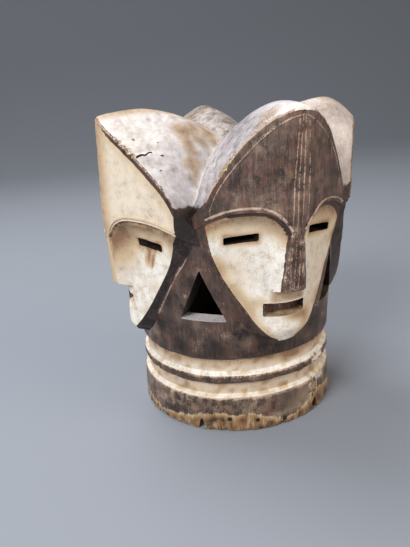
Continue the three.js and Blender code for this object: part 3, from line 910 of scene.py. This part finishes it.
def coat_forehead(paint, at):
    s, inside = at.s, rim_distance(at.face, at.s, at.z)
    if at.who in DARK_FACES:
        paint.wash += 0.35 * ease(waves(at.p, 30, 19), -0.2, 1) * (1 - ease(s, -10, 20))
        paint.worn += 0.8 * np.exp(-inside / 0.9)
        paint.clay += 1.0 * spot(s, inside, 2, 0, 11, 2.6) * (at.who == "front")
        paint.soot += 0.15 * ease(s, 8, 40)
    else:
        # The dark edge along the rim is narrowest at the gable's tip
        band = 1.0 + 3.8 * ease(np.abs(s), 3, 22)
        paint.clay += 1.1 * ease(inside, band - 0.5, band + 0.5)
        paint.dirt += 0.4 * (1 - ease(np.abs(s), 2, 20)) + 0.1 * (1 - ease(inside - band, 1, 9))
        paint.worn += 0.25 * (1 - ease(inside, 0, band))


def coat_rim(paint, at):
    """Slip laid over the tip of the front gable's rim."""
    tip = spot(at.s, 0, 2, 0, 12) * (at.who == "front")
    paint.clay += 1.2 * tip
    paint.worn -= 0.7 * tip


def coat_roof(paint, at):
    who, face, p, s, r, z = at.who, at.face, at.p, at.s, at.r, at.z
    behind_rim = np.maximum(forehead(face, s, z) - r, 0)
    paint.worn += 0.7 * np.exp(-behind_rim / 1.3) * (1 - spot(s, 0, 2, 0, 14) * (who == "front"))
    if who in ("left", "front"):
        # The valley between these two vaults was filled with whiter slip
        beyond = FACES["front" if who == "left" else "left"]
        so, ro, _ = local(beyond, p)
        valley = np.exp(-np.maximum(z - roof_height(beyond, so, ro), 0) / 2.2) * (so * s < 0)
        paint.wash -= 0.6 * valley
        paint.clay += 0.3 * valley
        paint.dirt -= 0.4 * valley
    if who == "left":
        # More wash towards the valley; less in the middle of the near slope, a painted whiter sheen
        paint.wash += 0.12 * ease(s, 20, 60) - 0.25 * spot(s, r, 30, 122, 22, 26)
        paint.dirt += 0.42 * (1 - ease(s, 2, 12))
        uneven = 1 + 0.5 * waves(p, 14, 12)
        for strength, *where in ROOF_STAINS:
            paint.dirt += strength * uneven * spot(s, r, *where)
    elif who == "front":
        whiter = spot(s, r, 3, 148, 20, 14)
        paint.wash += 0.4 - whiter
        paint.soot += 0.18 - 0.3 * whiter + 0.28 * ease(-s, 8, 30) * (1 - valley)
        paint.dirt += 0.5 * spot(s, r, -24, 128, 12, 10)
    elif who == "right":
        paint.dirt += 0.2 + 0.4 * spot(s, r, 10, 120, 20, 14)
        paint.wash += 0.2
        paint.soot += 0.2
    else:
        paint.dirt += 0.2 + 0.4 * spot(s, r, 5, 100, 20, 12)
        paint.wash += 0.2
        paint.soot += 0.5
    # Low in the valleys the slip gives out
    lower = ease(z, 240, 246)
    paint.clay *= lower
    paint.soot += 0.8 * (1 - lower)


def coat_orbit(paint, at):
    paint.clay += clay_behind_brow(at) if at.who in DARK_FACES else 0.9
    # Stain and painted shade on the wall under the brow; more painted shade on the left face
    paint.dirt += 0.85 + 0.12 * waves(at.p, 18, 10)
    paint.soot += 0.58 * (at.who == "left")


def coat_nose_wall(paint, at):
    if at.who in DARK_FACES:
        depth = forehead(at.face, 0, at.z) - at.face.bevel - at.r
        paint.clay += ease(depth, 0.6, 2.6) * (at.who == "front")
        # Painted shade over the right face's nose wall, and up under the brow near the nose's root
        paint.soot += 0.5 * (at.who == "right")
        paint.dirt += 0.8 * ease(at.z, 204, 226)
    else:
        paint.clay += 0.95
        # Painted shade with some dirt, deepening up towards the brow
        paint.dirt += 0.15 + 0.45 * ease(at.z, 160, 195)
        paint.soot += 0.42 * ease(at.z, 180, 215)


def coat_side(paint, at):
    """Dark side wall, its pigment deepened with painted shade; the left face's has a painted highlight along
    its crease.
    """
    paint.soot += (0.52 if at.who == "left" else 0.34) + 0.1 * waves(at.p, 20, 21)
    if at.who == "front":
        paint.soot += 0.5 * seam_shade(at) * ease(at.z, 186, 205)
    if at.who == "left":
        clear = np.hypot(at.p[:, 0], at.p[:, 1]) - read_off(DRUM_RADIUS, at.z)
        # A pale painted highlight along the crease, with less painted shade on it
        crease = (1 - ease(clear, 0.2, 1.1)) * ease(at.z, 110, 130) * (1 - ease(at.z, 188, 198))
        paint.worn += 0.7 * crease
        paint.soot += seam_shade(at) - 0.8 * crease


def coat_groove(paint, at):
    """Dirt and flaked slip in the collar's lower groove and on the grooves' lips."""
    paint.dirt += 0.35 * ease(waves(at.p, 14, 22), 0, 1.2)
    paint.clay -= 0.4 * ease(waves(at.p, 9, 23), 0.6, 1.5) * (at.name != "low groove")


def coat_top_groove(paint, at):
    turn, z = at.turn, at.z
    # Painted shade towards the top, under the drum's edge, and uneven dirt
    paint.dirt += 0.4 * ease(z, 72, 81) + 0.3 * ease(waves(at.p, 13, 20), 0, 1.2)
    paint.dirt += 0.8 * spot(turn, z, 11, 77, 6, 4) + 0.2 * ease(turn, 18, 40) * (1 - ease(turn, 70, 95))


def coat_sill(paint, at):
    """Pale in the window that shows, darker in the other three."""
    pale = spot(at.turn, 0, -41, 0, 20)
    paint.clay += 0.65 * pale
    paint.soot += 0.45 * (1 - pale)


def coat_ring(paint, at):
    paint.worn += 0.5 * ease(at.z, 60.5, 63.5)
    paint.clay += 0.9 * spot(at.turn, at.z, 32, 61, 8, 10)
    # Painted shade towards the ring's lower edge
    paint.soot += 0.25 * (1 - ease(at.z, 57, 62))


def coat_foot(paint, at):
    """Collar below the grooves: pigment down to the foot's ragged edge, then bare wood, dirty and sooted."""
    p, turn, z = at.p, at.turn, at.z
    edge = read_off(FOOT_EDGE, turn)
    below = ease(edge - z, -3, 6)
    paint.bare += ease(edge - z, -5, 5) + 0.5 * spot(turn, z, 28, 28, 5, 14)
    paint.dirt += (0.42 + 0.25 * waves(p, 12, 16)) * below
    paint.soot += (0.4 + 0.26 * waves(p * [1, 1, 0.5], 10, 17)) * below
    paint.soot += 0.5 * spot(turn, 0, 5, 0, 15) * ease(z, 12, 20)
    paint.worn += 0.5 * np.exp((z - 38.5) / 1.6)
    paint.wash += 0.3 * waves(p, 26, 15)
    paint.clay += 0.7 * spot(turn, z, 34, 38, 9, 8)


def coat_drum(paint, at):
    turn, z = at.turn, at.z
    paint.worn += 0.3 * spot(turn, z, -26, 111, 5, 6) + 0.3 * spot(turn, z, -51, 151, 1.5, 3)
    paint.bare += 0.28 * spot(turn, z, -62, 105, 14, 14)
    # Painted shade under the front chin and along the left face's seam; darker beside the left face
    paint.soot += 0.35 * spot(turn, z, 0, 98, 30, 14) + 0.3 * spot(turn, z, -62, 125, 22, 34)
    paint.soot += seam_shade(at) * ease(z, 186, 205) + 0.2 * waves(at.p, 24, 14)
    paint.wash += 0.5 * ease(waves(at.p, 34, 18), -0.3, 1)


def coat_chip(paint, at):
    """The chips of the left gable's rim are whiter."""
    paint.clay += 0.45 * ease(at.z, 180, 200) * ease(-at.p[:, 0], 90, 100)


# What is laid over the even coats: on the parts of a face, then on the rest
UNEVEN = {
    "cheek": coat_cheek, "forehead": coat_forehead, "rim": coat_rim, "roof": coat_roof, "orbit": coat_orbit,
    "nose wall": coat_nose_wall, "side": coat_side,
    "low lip": coat_groove, "low groove": coat_groove, "top lip": coat_groove, "top groove": coat_top_groove,
    "sill": coat_sill, "ring": coat_ring, "foot": coat_foot, "collar": coat_foot, "drum": coat_drum,
    "chip": coat_chip,
}


def coat(name, p):
    """The fields at the points p of one zone, each 0 to 1."""
    paint = SimpleNamespace(**{field: np.zeros(len(p)) for field in FIELDS})
    at = SimpleNamespace(name=name, p=p, z=p[:, 2], turn=np.degrees(np.arctan2(p[:, 0], -p[:, 1])))
    who, _, part = name.partition(" ")
    if who in FACES:
        at.who, at.face = who, FACES[who]
        at.s, at.r, at.z = local(at.face, p)
        # Painted shade over the right face, all but its roof
        paint.soot += 0.3 * (who == "right") * (part != "roof")
        name = ("dark " if who in DARK_FACES else "pale ") + part
    else:
        part = name
    for field, value in EVEN.get(name, {}).items():
        vars(paint)[field] += value
    if part in UNEVEN:
        UNEVEN[part](paint, at)
    return [np.clip(vars(paint)[field], 0, 1) for field in FIELDS]


# Last touches

GROOVE_LIPS = (39.4, 56.3, 64.4, 84.2)


def hand_worn(p, normals, at_rim):
    """Points sunk unevenly, as the knife, handling and gnawing left the surface."""
    height = p[:, 2]
    sink = 0.3 + 0.24 * waves(p, 30, 1) + 0.1 * waves(p, 9, 2)
    # Ragged lips of the grooves, a gnawed foot, worn rims
    outside = ease(np.hypot(p[:, 0], p[:, 1]), 103, 106) * (height < 88)
    for level in GROOVE_LIPS:
        near = np.exp(-((height - level) / 1.5) ** 2)
        sink += 1.1 * outside * near * np.maximum(0, waves(p, 7, 5) + 0.1)
    sink += 1.5 * outside * np.exp(-((height / 4.5) ** 2)) * np.maximum(0, waves(p, 9, 6) + 0.4)
    sink += 0.8 * at_rim * np.maximum(0, waves(p, 11, 7))
    # The foot's underside stays flat inside its outer edge
    sink *= np.where(height < 0.3, outside, 1)
    return p - normals * np.maximum(sink, 0)[:, None]


def finish(body, name):
    """Uneven hand surface, lean, place and paint fields; gives the finished piece in metres."""
    mesh = body.data
    p, normals = values_of(mesh.vertices, "co", 3), values_of(mesh.vertex_normals, "vector", 3)
    zones = values_of(mesh.polygons, "material_index", kind=int)
    corner = values_of(mesh.loops, "vertex_index", kind=int)
    corner_zone = np.repeat(zones, values_of(mesh.polygons, "loop_total", kind=int))
    zone_names = [m.name.removeprefix("zone ") for m in mesh.materials]

    paint = np.zeros((len(FIELDS), len(corner)))
    for index, zone_name in enumerate(zone_names):
        mine = np.flatnonzero(corner_zone == index)
        if len(mine):
            paint[:, mine] = coat(zone_name, p[corner[mine]])
    for field, row in zip(FIELDS, paint):
        layer = mesh.attributes.new(field, "FLOAT", "CORNER")
        layer.data.foreach_set("value", row.astype(np.float32))

    is_rim = np.array([n.endswith(" rim") for n in zone_names])
    at_rim = np.zeros(len(p))
    at_rim[corner[is_rim[corner_zone]]] = 1
    q = hand_worn(p, normals, at_rim)
    q[:, 0] += LEAN * np.maximum(0, q[:, 2] - LEAN_FROM) + COLLAR_MIDDLE[0]
    q[:, 1] += COLLAR_MIDDLE[1]
    q = np.clip(q * MM, list(cad_box[0]), list(cad_box[1]))
    mesh.vertices.foreach_set("co", q.ravel())

    is_hollow = np.array([n == "hollow" for n in zone_names])
    mesh.materials.clear()
    for material in (painted_wood(), hollowed_wood()):
        mesh.materials.append(material)
    mesh.polygons.foreach_set("material_index", is_hollow[zones].astype(int))
    for material in [m for m in bpy.data.materials if m.name.startswith("zone ")]:
        bpy.data.materials.remove(material)
    mesh.polygons.foreach_set("use_smooth", np.ones(len(zones), bool))
    mesh.set_sharp_from_angle(angle=math.radians(32))
    mesh.update()
    body.name = mesh.name = name
    return body


# Materials


def started(name):
    """Empty material, its node tree and the piece's own coordinates."""
    material = bpy.data.materials.new(name)
    material.use_nodes = True
    group = material.node_tree
    group.nodes.clear()
    return material, group, add(group, "ShaderNodeTexCoord").outputs["Object"]


def patches(group, where, size, detail=3.0, rough=0.55, stretch=1.0):
    """Uneven pattern whose patches are about size mm across, drawn out up the grain by stretch."""
    across, up = 1 / (size * MM), 1 / (size * stretch * MM)
    scaled = add(group, "ShaderNodeMapping", {"Vector": where, "Scale": (across, across, up)})
    inputs = {"Vector": scaled.outputs[0], "Scale": 1.0, "Detail": detail, "Roughness": rough}
    return add(group, "ShaderNodeTexNoise", inputs).outputs["Fac"]


def blended(group, parts, total=0.0):
    """Sum of (pattern, share) parts, on top of total."""
    for pattern, share in parts:
        step = add(group, "ShaderNodeMath", {0: pattern, 1: share, 2: total}, operation="MULTIPLY_ADD")
        total = step.outputs[0]
    return total


def cut_off(group, parts, low, high, total=0.0):
    """Blend of patterns, spread softly from 0 at low to 1 at high."""
    inputs = {"Value": blended(group, parts, total), "From Min": low, "From Max": high}
    return add(group, "ShaderNodeMapRange", inputs, interpolation_type="SMOOTHSTEP").outputs[0]


def ragged(group, field, low, high, parts):
    """Edge of a coat: its painted field, made uneven by patterns about their middle value."""
    middle = sum(share for _, share in parts) / 2
    return cut_off(group, parts, low + middle, high + middle, field)


def laid(group, under, over, cover, share=1.0, how="MIX"):
    """One coat laid over another, as far as its cover and share reach."""
    inputs = {0: blended(group, [(cover, share)]), 6: under, 7: over}
    return add(group, "ShaderNodeMix", inputs, data_type="RGBA", blend_type=how).outputs[2]


def graded(group, parts, stops):
    """Colours of one coat: (position, hex) stops, run through by a blend of patterns."""
    node = add(group, "ShaderNodeValToRGB", {"Fac": blended(group, parts)})
    elements = node.color_ramp.elements
    while len(elements) < len(stops):
        elements.new(0.5)
    for element, (position, code) in zip(elements, stops):
        element.position, element.color = position, colour(code)
    return node.outputs["Color"]


def surfaced(group, look, height, relief):
    """Closes a material: its look, and a surface roughened by height, relief mm deep."""
    bump = add(group, "ShaderNodeBump", {"Strength": 0.8, "Distance": relief * MM, "Height": height})
    shader = add(group, "ShaderNodeBsdfPrincipled", {**look, "Normal": bump.outputs[0]})
    add(group, "ShaderNodeOutputMaterial", {"Surface": shader.outputs[0]})


def pigment_coat(group, where, seen, film):
    """Dark plant pigment: brown-black, redder where rubbed thin, with fine scratches and flecks down to the
    wood and a grey film of dust over it."""
    coat = graded(group, [(seen.large, 0.3), (seen.middle, 0.35), (seen.streak, 0.2), (seen.grain, 0.15)],
                  [(0.42, "#2b1f1a"), (0.48, "#47362f"), (0.53, "#614b41"), (0.6, "#7e675a")])
    rubbed = patches(group, where, 13, 4.0, 0.6)
    coat = laid(group, coat, "#6b4131", cut_off(group, [(rubbed, 1.0)], 0.5, 0.62), 0.38)
    scratch = patches(group, where, 0.9, 2.0, 0.5, 18)
    coat = laid(group, coat, "#a08474", cut_off(group, [(scratch, 1.0)], 0.56, 0.7), 0.22)
    coat = laid(group, coat, "#a98d7c", cut_off(group, [(seen.fine, 1.0)], 0.6, 0.7), 0.35)
    dusty = cut_off(group, [(seen.middle, 0.5), (seen.large, 0.3), (seen.fine, 0.2)], 0.4, 0.6)
    return laid(group, coat, "#a4937c", dusty, blended(group, [(film, 0.75)]))


def slip_coat(group, seen, wash):
    """White clay slip: chalky, creamy where thin, blue-grey and smoother where it was washed over."""
    clay = graded(group, [(seen.middle, 0.5), (seen.fine, 0.35), (seen.large, 0.15)],
                  [(0.36, "#b3a28c"), (0.44, "#d5cbbc"), (0.52, "#e8e2d8"), (0.62, "#f5f2ec")])
    washed = graded(group, [(seen.large, 0.4), (seen.middle, 0.35), (seen.streak, 0.25)],
                    [(0.38, "#968d90"), (0.46, "#b9b1b4"), (0.54, "#d2cccf"), (0.64, "#ebe7e9")])
    return laid(group, clay, washed, wash)


def painted_wood():
    """Light carved wood, limed and coloured by hand long ago. To the eye: matt dark brown beside chalky white
    with ragged edges, tan grain where both are gone, brown stains, and a low sheen where the roof was
    washed."""
    material, group, where = started("carved wood, dark pigment and white clay")
    field = {name: add(group, "ShaderNodeAttribute", attribute_name=name).outputs["Fac"] for name in FIELDS}
    # The wood's pores and the slip's grit are about 0.3 mm wide, and are drawn coarser so that they show
    seen = SimpleNamespace(
        grain=patches(group, where, 1.3, 4.0, 0.65, 14), fine=patches(group, where, 1.3, 3.0, 0.6),
        middle=patches(group, where, 9, 5.0, 0.62), large=patches(group, where, 38),
        streak=patches(group, where, 4, 3.0, 0.6, 6))
    mottle = cut_off(group, [(seen.middle, 0.55), (seen.fine, 0.3), (seen.grain, 0.15)], 0.38, 0.62)
    wood = graded(group, [(seen.grain, 0.45), (seen.middle, 0.35), (seen.fine, 0.2)],
                  [(0.38, "#5c4733"), (0.46, "#9a7f60"), (0.53, "#bfa685"), (0.62, "#dccab0")])

    bare = ragged(group, field["bare"], 0.42, 0.58, [(seen.middle, 1.3), (seen.grain, 0.5), (seen.fine, 0.5)])
    clay = ragged(group, field["clay"], 0.4, 0.56, [(seen.middle, 0.6), (seen.grain, 0.25), (seen.fine, 0.4)])
    worn = ragged(group, field["worn"], 0.36, 0.6, [(seen.fine, 1.3), (seen.middle, 1.2), (seen.grain, 0.4)])
    dark = laid(group, pigment_coat(group, where, seen, field["wash"]), wood, bare)
    coat = laid(group, dark, slip_coat(group, seen, field["wash"]), clay)
    # Wear, and painted highlights on the brows and the left face's crease, in pinkish tan
    coat = laid(group, coat, laid(group, "#a67f69", "#dcc7b4", seen.middle), worn, 0.8)
    # Brown stains and painted shade: a light tint first, then a deep one in the middle
    dirt = blended(group, [(field["dirt"], blended(group, [(mottle, 0.65), (seen.fine, 0.8)], 0.28))])
    coat = laid(group, coat, "#e8d4b8", cut_off(group, [(dirt, 1.0)], 0.02, 0.4), how="MULTIPLY")
    coat = laid(group, coat, "#a07c68", cut_off(group, [(dirt, 1.0)], 0.25, 1.0), 0.85, "MULTIPLY")
    # Pits where the slip has come off in specks
    pits = patches(group, where, 1.6, 2.0, 0.7)
    coat = laid(group, coat, "#8a6a4a", cut_off(group, [(pits, 1.0)], 0.64, 0.74), 0.45)
    # Soot and painted shade darken towards near black
    soot = blended(group, [(field["soot"], blended(group, [(mottle, 1.1)], 0.4))])
    coat = laid(group, coat, "#1d1411", cut_off(group, [(soot, 1.0)], 0.05, 1.0))

    rough = blended(group, [(clay, 0.2), (field["wash"], -0.25), (seen.fine, 0.25), (seen.middle, 0.2)], 0.3)
    height = blended(group, [(seen.grain, 0.4), (seen.fine, 0.45), (seen.middle, 0.8), (clay, 0.35),
                             (worn, -0.2)])
    surfaced(group, {"Base Color": coat, "Roughness": rough, "IOR": 1.5}, height, 0.6)
    return material


def hollowed_wood():
    """Inside of the hollow: bare wood, gouged and never painted. To the eye a dull, even dark brown."""
    material, group, where = started("hollowed wood, unpainted and darkened")
    grain = patches(group, where, 2, 4.0, 0.5, 15)
    inputs = {"Vector": where, "Scale": 1 / (GOUGE * MM), "Smoothness": 0.4}
    marks = add(group, "ShaderNodeTexVoronoi", inputs, feature="SMOOTH_F1")
    tint = graded(group, [(grain, 1.0)], [(0.3, "#1f150f"), (0.5, "#33241a"), (0.7, "#4a3627")])
    surfaced(group, {"Base Color": tint, "Roughness": 0.8, "IOR": 1.5}, marks.outputs["Distance"], 1.5)
    return material


def backdrop_paper():
    """Background paper: an even pale grey with no sheen."""
    material, group, _ = started("matt background paper")
    shader = add(group, "ShaderNodeBsdfPrincipled", {"Base Color": "#8d939e", "Roughness": 0.9})
    add(group, "ShaderNodeOutputMaterial", {"Surface": shader.outputs[0]})
    return material


# The mask

mask = carve()
lines(mask)
beetle_holes(mask)
chips(mask)
finish(mask, "carved_mask")
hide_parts("helmet_mask")
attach(mask, "root")


# Floor, light and camera


def sweep():
    """Pale floor, 12 m wide, that curves up into a backdrop."""
    half, near, bend, radius, rows = 6.0, -4.0, 2.2, 2.0, 40
    points = []
    for j in range(rows + 1):
        t = j / rows
        if t < 0.5:
            y, z = lerp(near, bend, 2 * t), 0.0
        else:
            a = (2 * t - 1) * math.pi / 2
            y, z = bend + radius * math.sin(a), radius * (1 - math.cos(a)) + 1.5 * max(0.0, 10 * t - 9)
        points += [(-half, y, z), (half, y, z)]
    faces = [(a, a + 1, a + 3, a + 2) for a in range(0, 2 * rows, 2)]
    mesh = bpy.data.meshes.new("floor")
    mesh.from_pydata(points, [], faces)
    mesh.polygons.foreach_set("use_smooth", [True] * len(faces))
    mesh.materials.append(backdrop_paper())
    return linked("floor", mesh)


floor = sweep()


def lamp(name, place_at, aim, size, power, tint="#ffffff"):
    data = bpy.data.lights.new(name, "AREA")
    data.size, data.energy, data.color = size, power, colour(tint)[:3]
    light = linked(name, data)
    light.location = place_at
    light.rotation_euler = (Vector(aim) - Vector(place_at)).to_track_quat("-Z", "Y").to_euler()


lamp("window light", (-1.7, -1.1, 1.5), (0, 0, 0.18), 1.0, 50)
lamp("room light", (1.6, -1.7, 0.8), (0, 0, 0.15), 1.4, 26, "#fff1e0")
lamp("top light", (-0.4, 0.9, 1.9), (0, 0, 0.25), 1.2, 30)
world = bpy.data.worlds.new("soft room")
world.use_nodes = True
world.node_tree.nodes["Background"].inputs["Color"].default_value = colour("#ebe8e4")
world.node_tree.nodes["Background"].inputs["Strength"].default_value = 0.4
bpy.context.scene.world = world
bpy.context.scene.view_settings.view_transform = "Standard"

# Camera where the photographer stood: heading right of +Y, looking down, head tilted
HEADING, LOOK_DOWN, TILT = math.radians(20.04), math.radians(18.25), math.radians(3.5)
STANDPOINT = (-0.24997, -0.57027, 0.34690)
FOCAL_PIXELS, FRAME_HEIGHT = 553.8, 547
SENSOR = 36
camera_data = bpy.data.cameras.new("camera")
camera_data.sensor_width = SENSOR
camera_data.lens = SENSOR * FOCAL_PIXELS / FRAME_HEIGHT
camera = linked("camera", camera_data)
camera.matrix_world = (Matrix.Translation(STANDPOINT) @ Matrix.Rotation(-HEADING, 4, "Z")
                       @ Matrix.Rotation(math.pi / 2 - LOOK_DOWN, 4, "X") @ Matrix.Rotation(-TILT, 4, "Z"))
bpy.context.scene.camera = camera
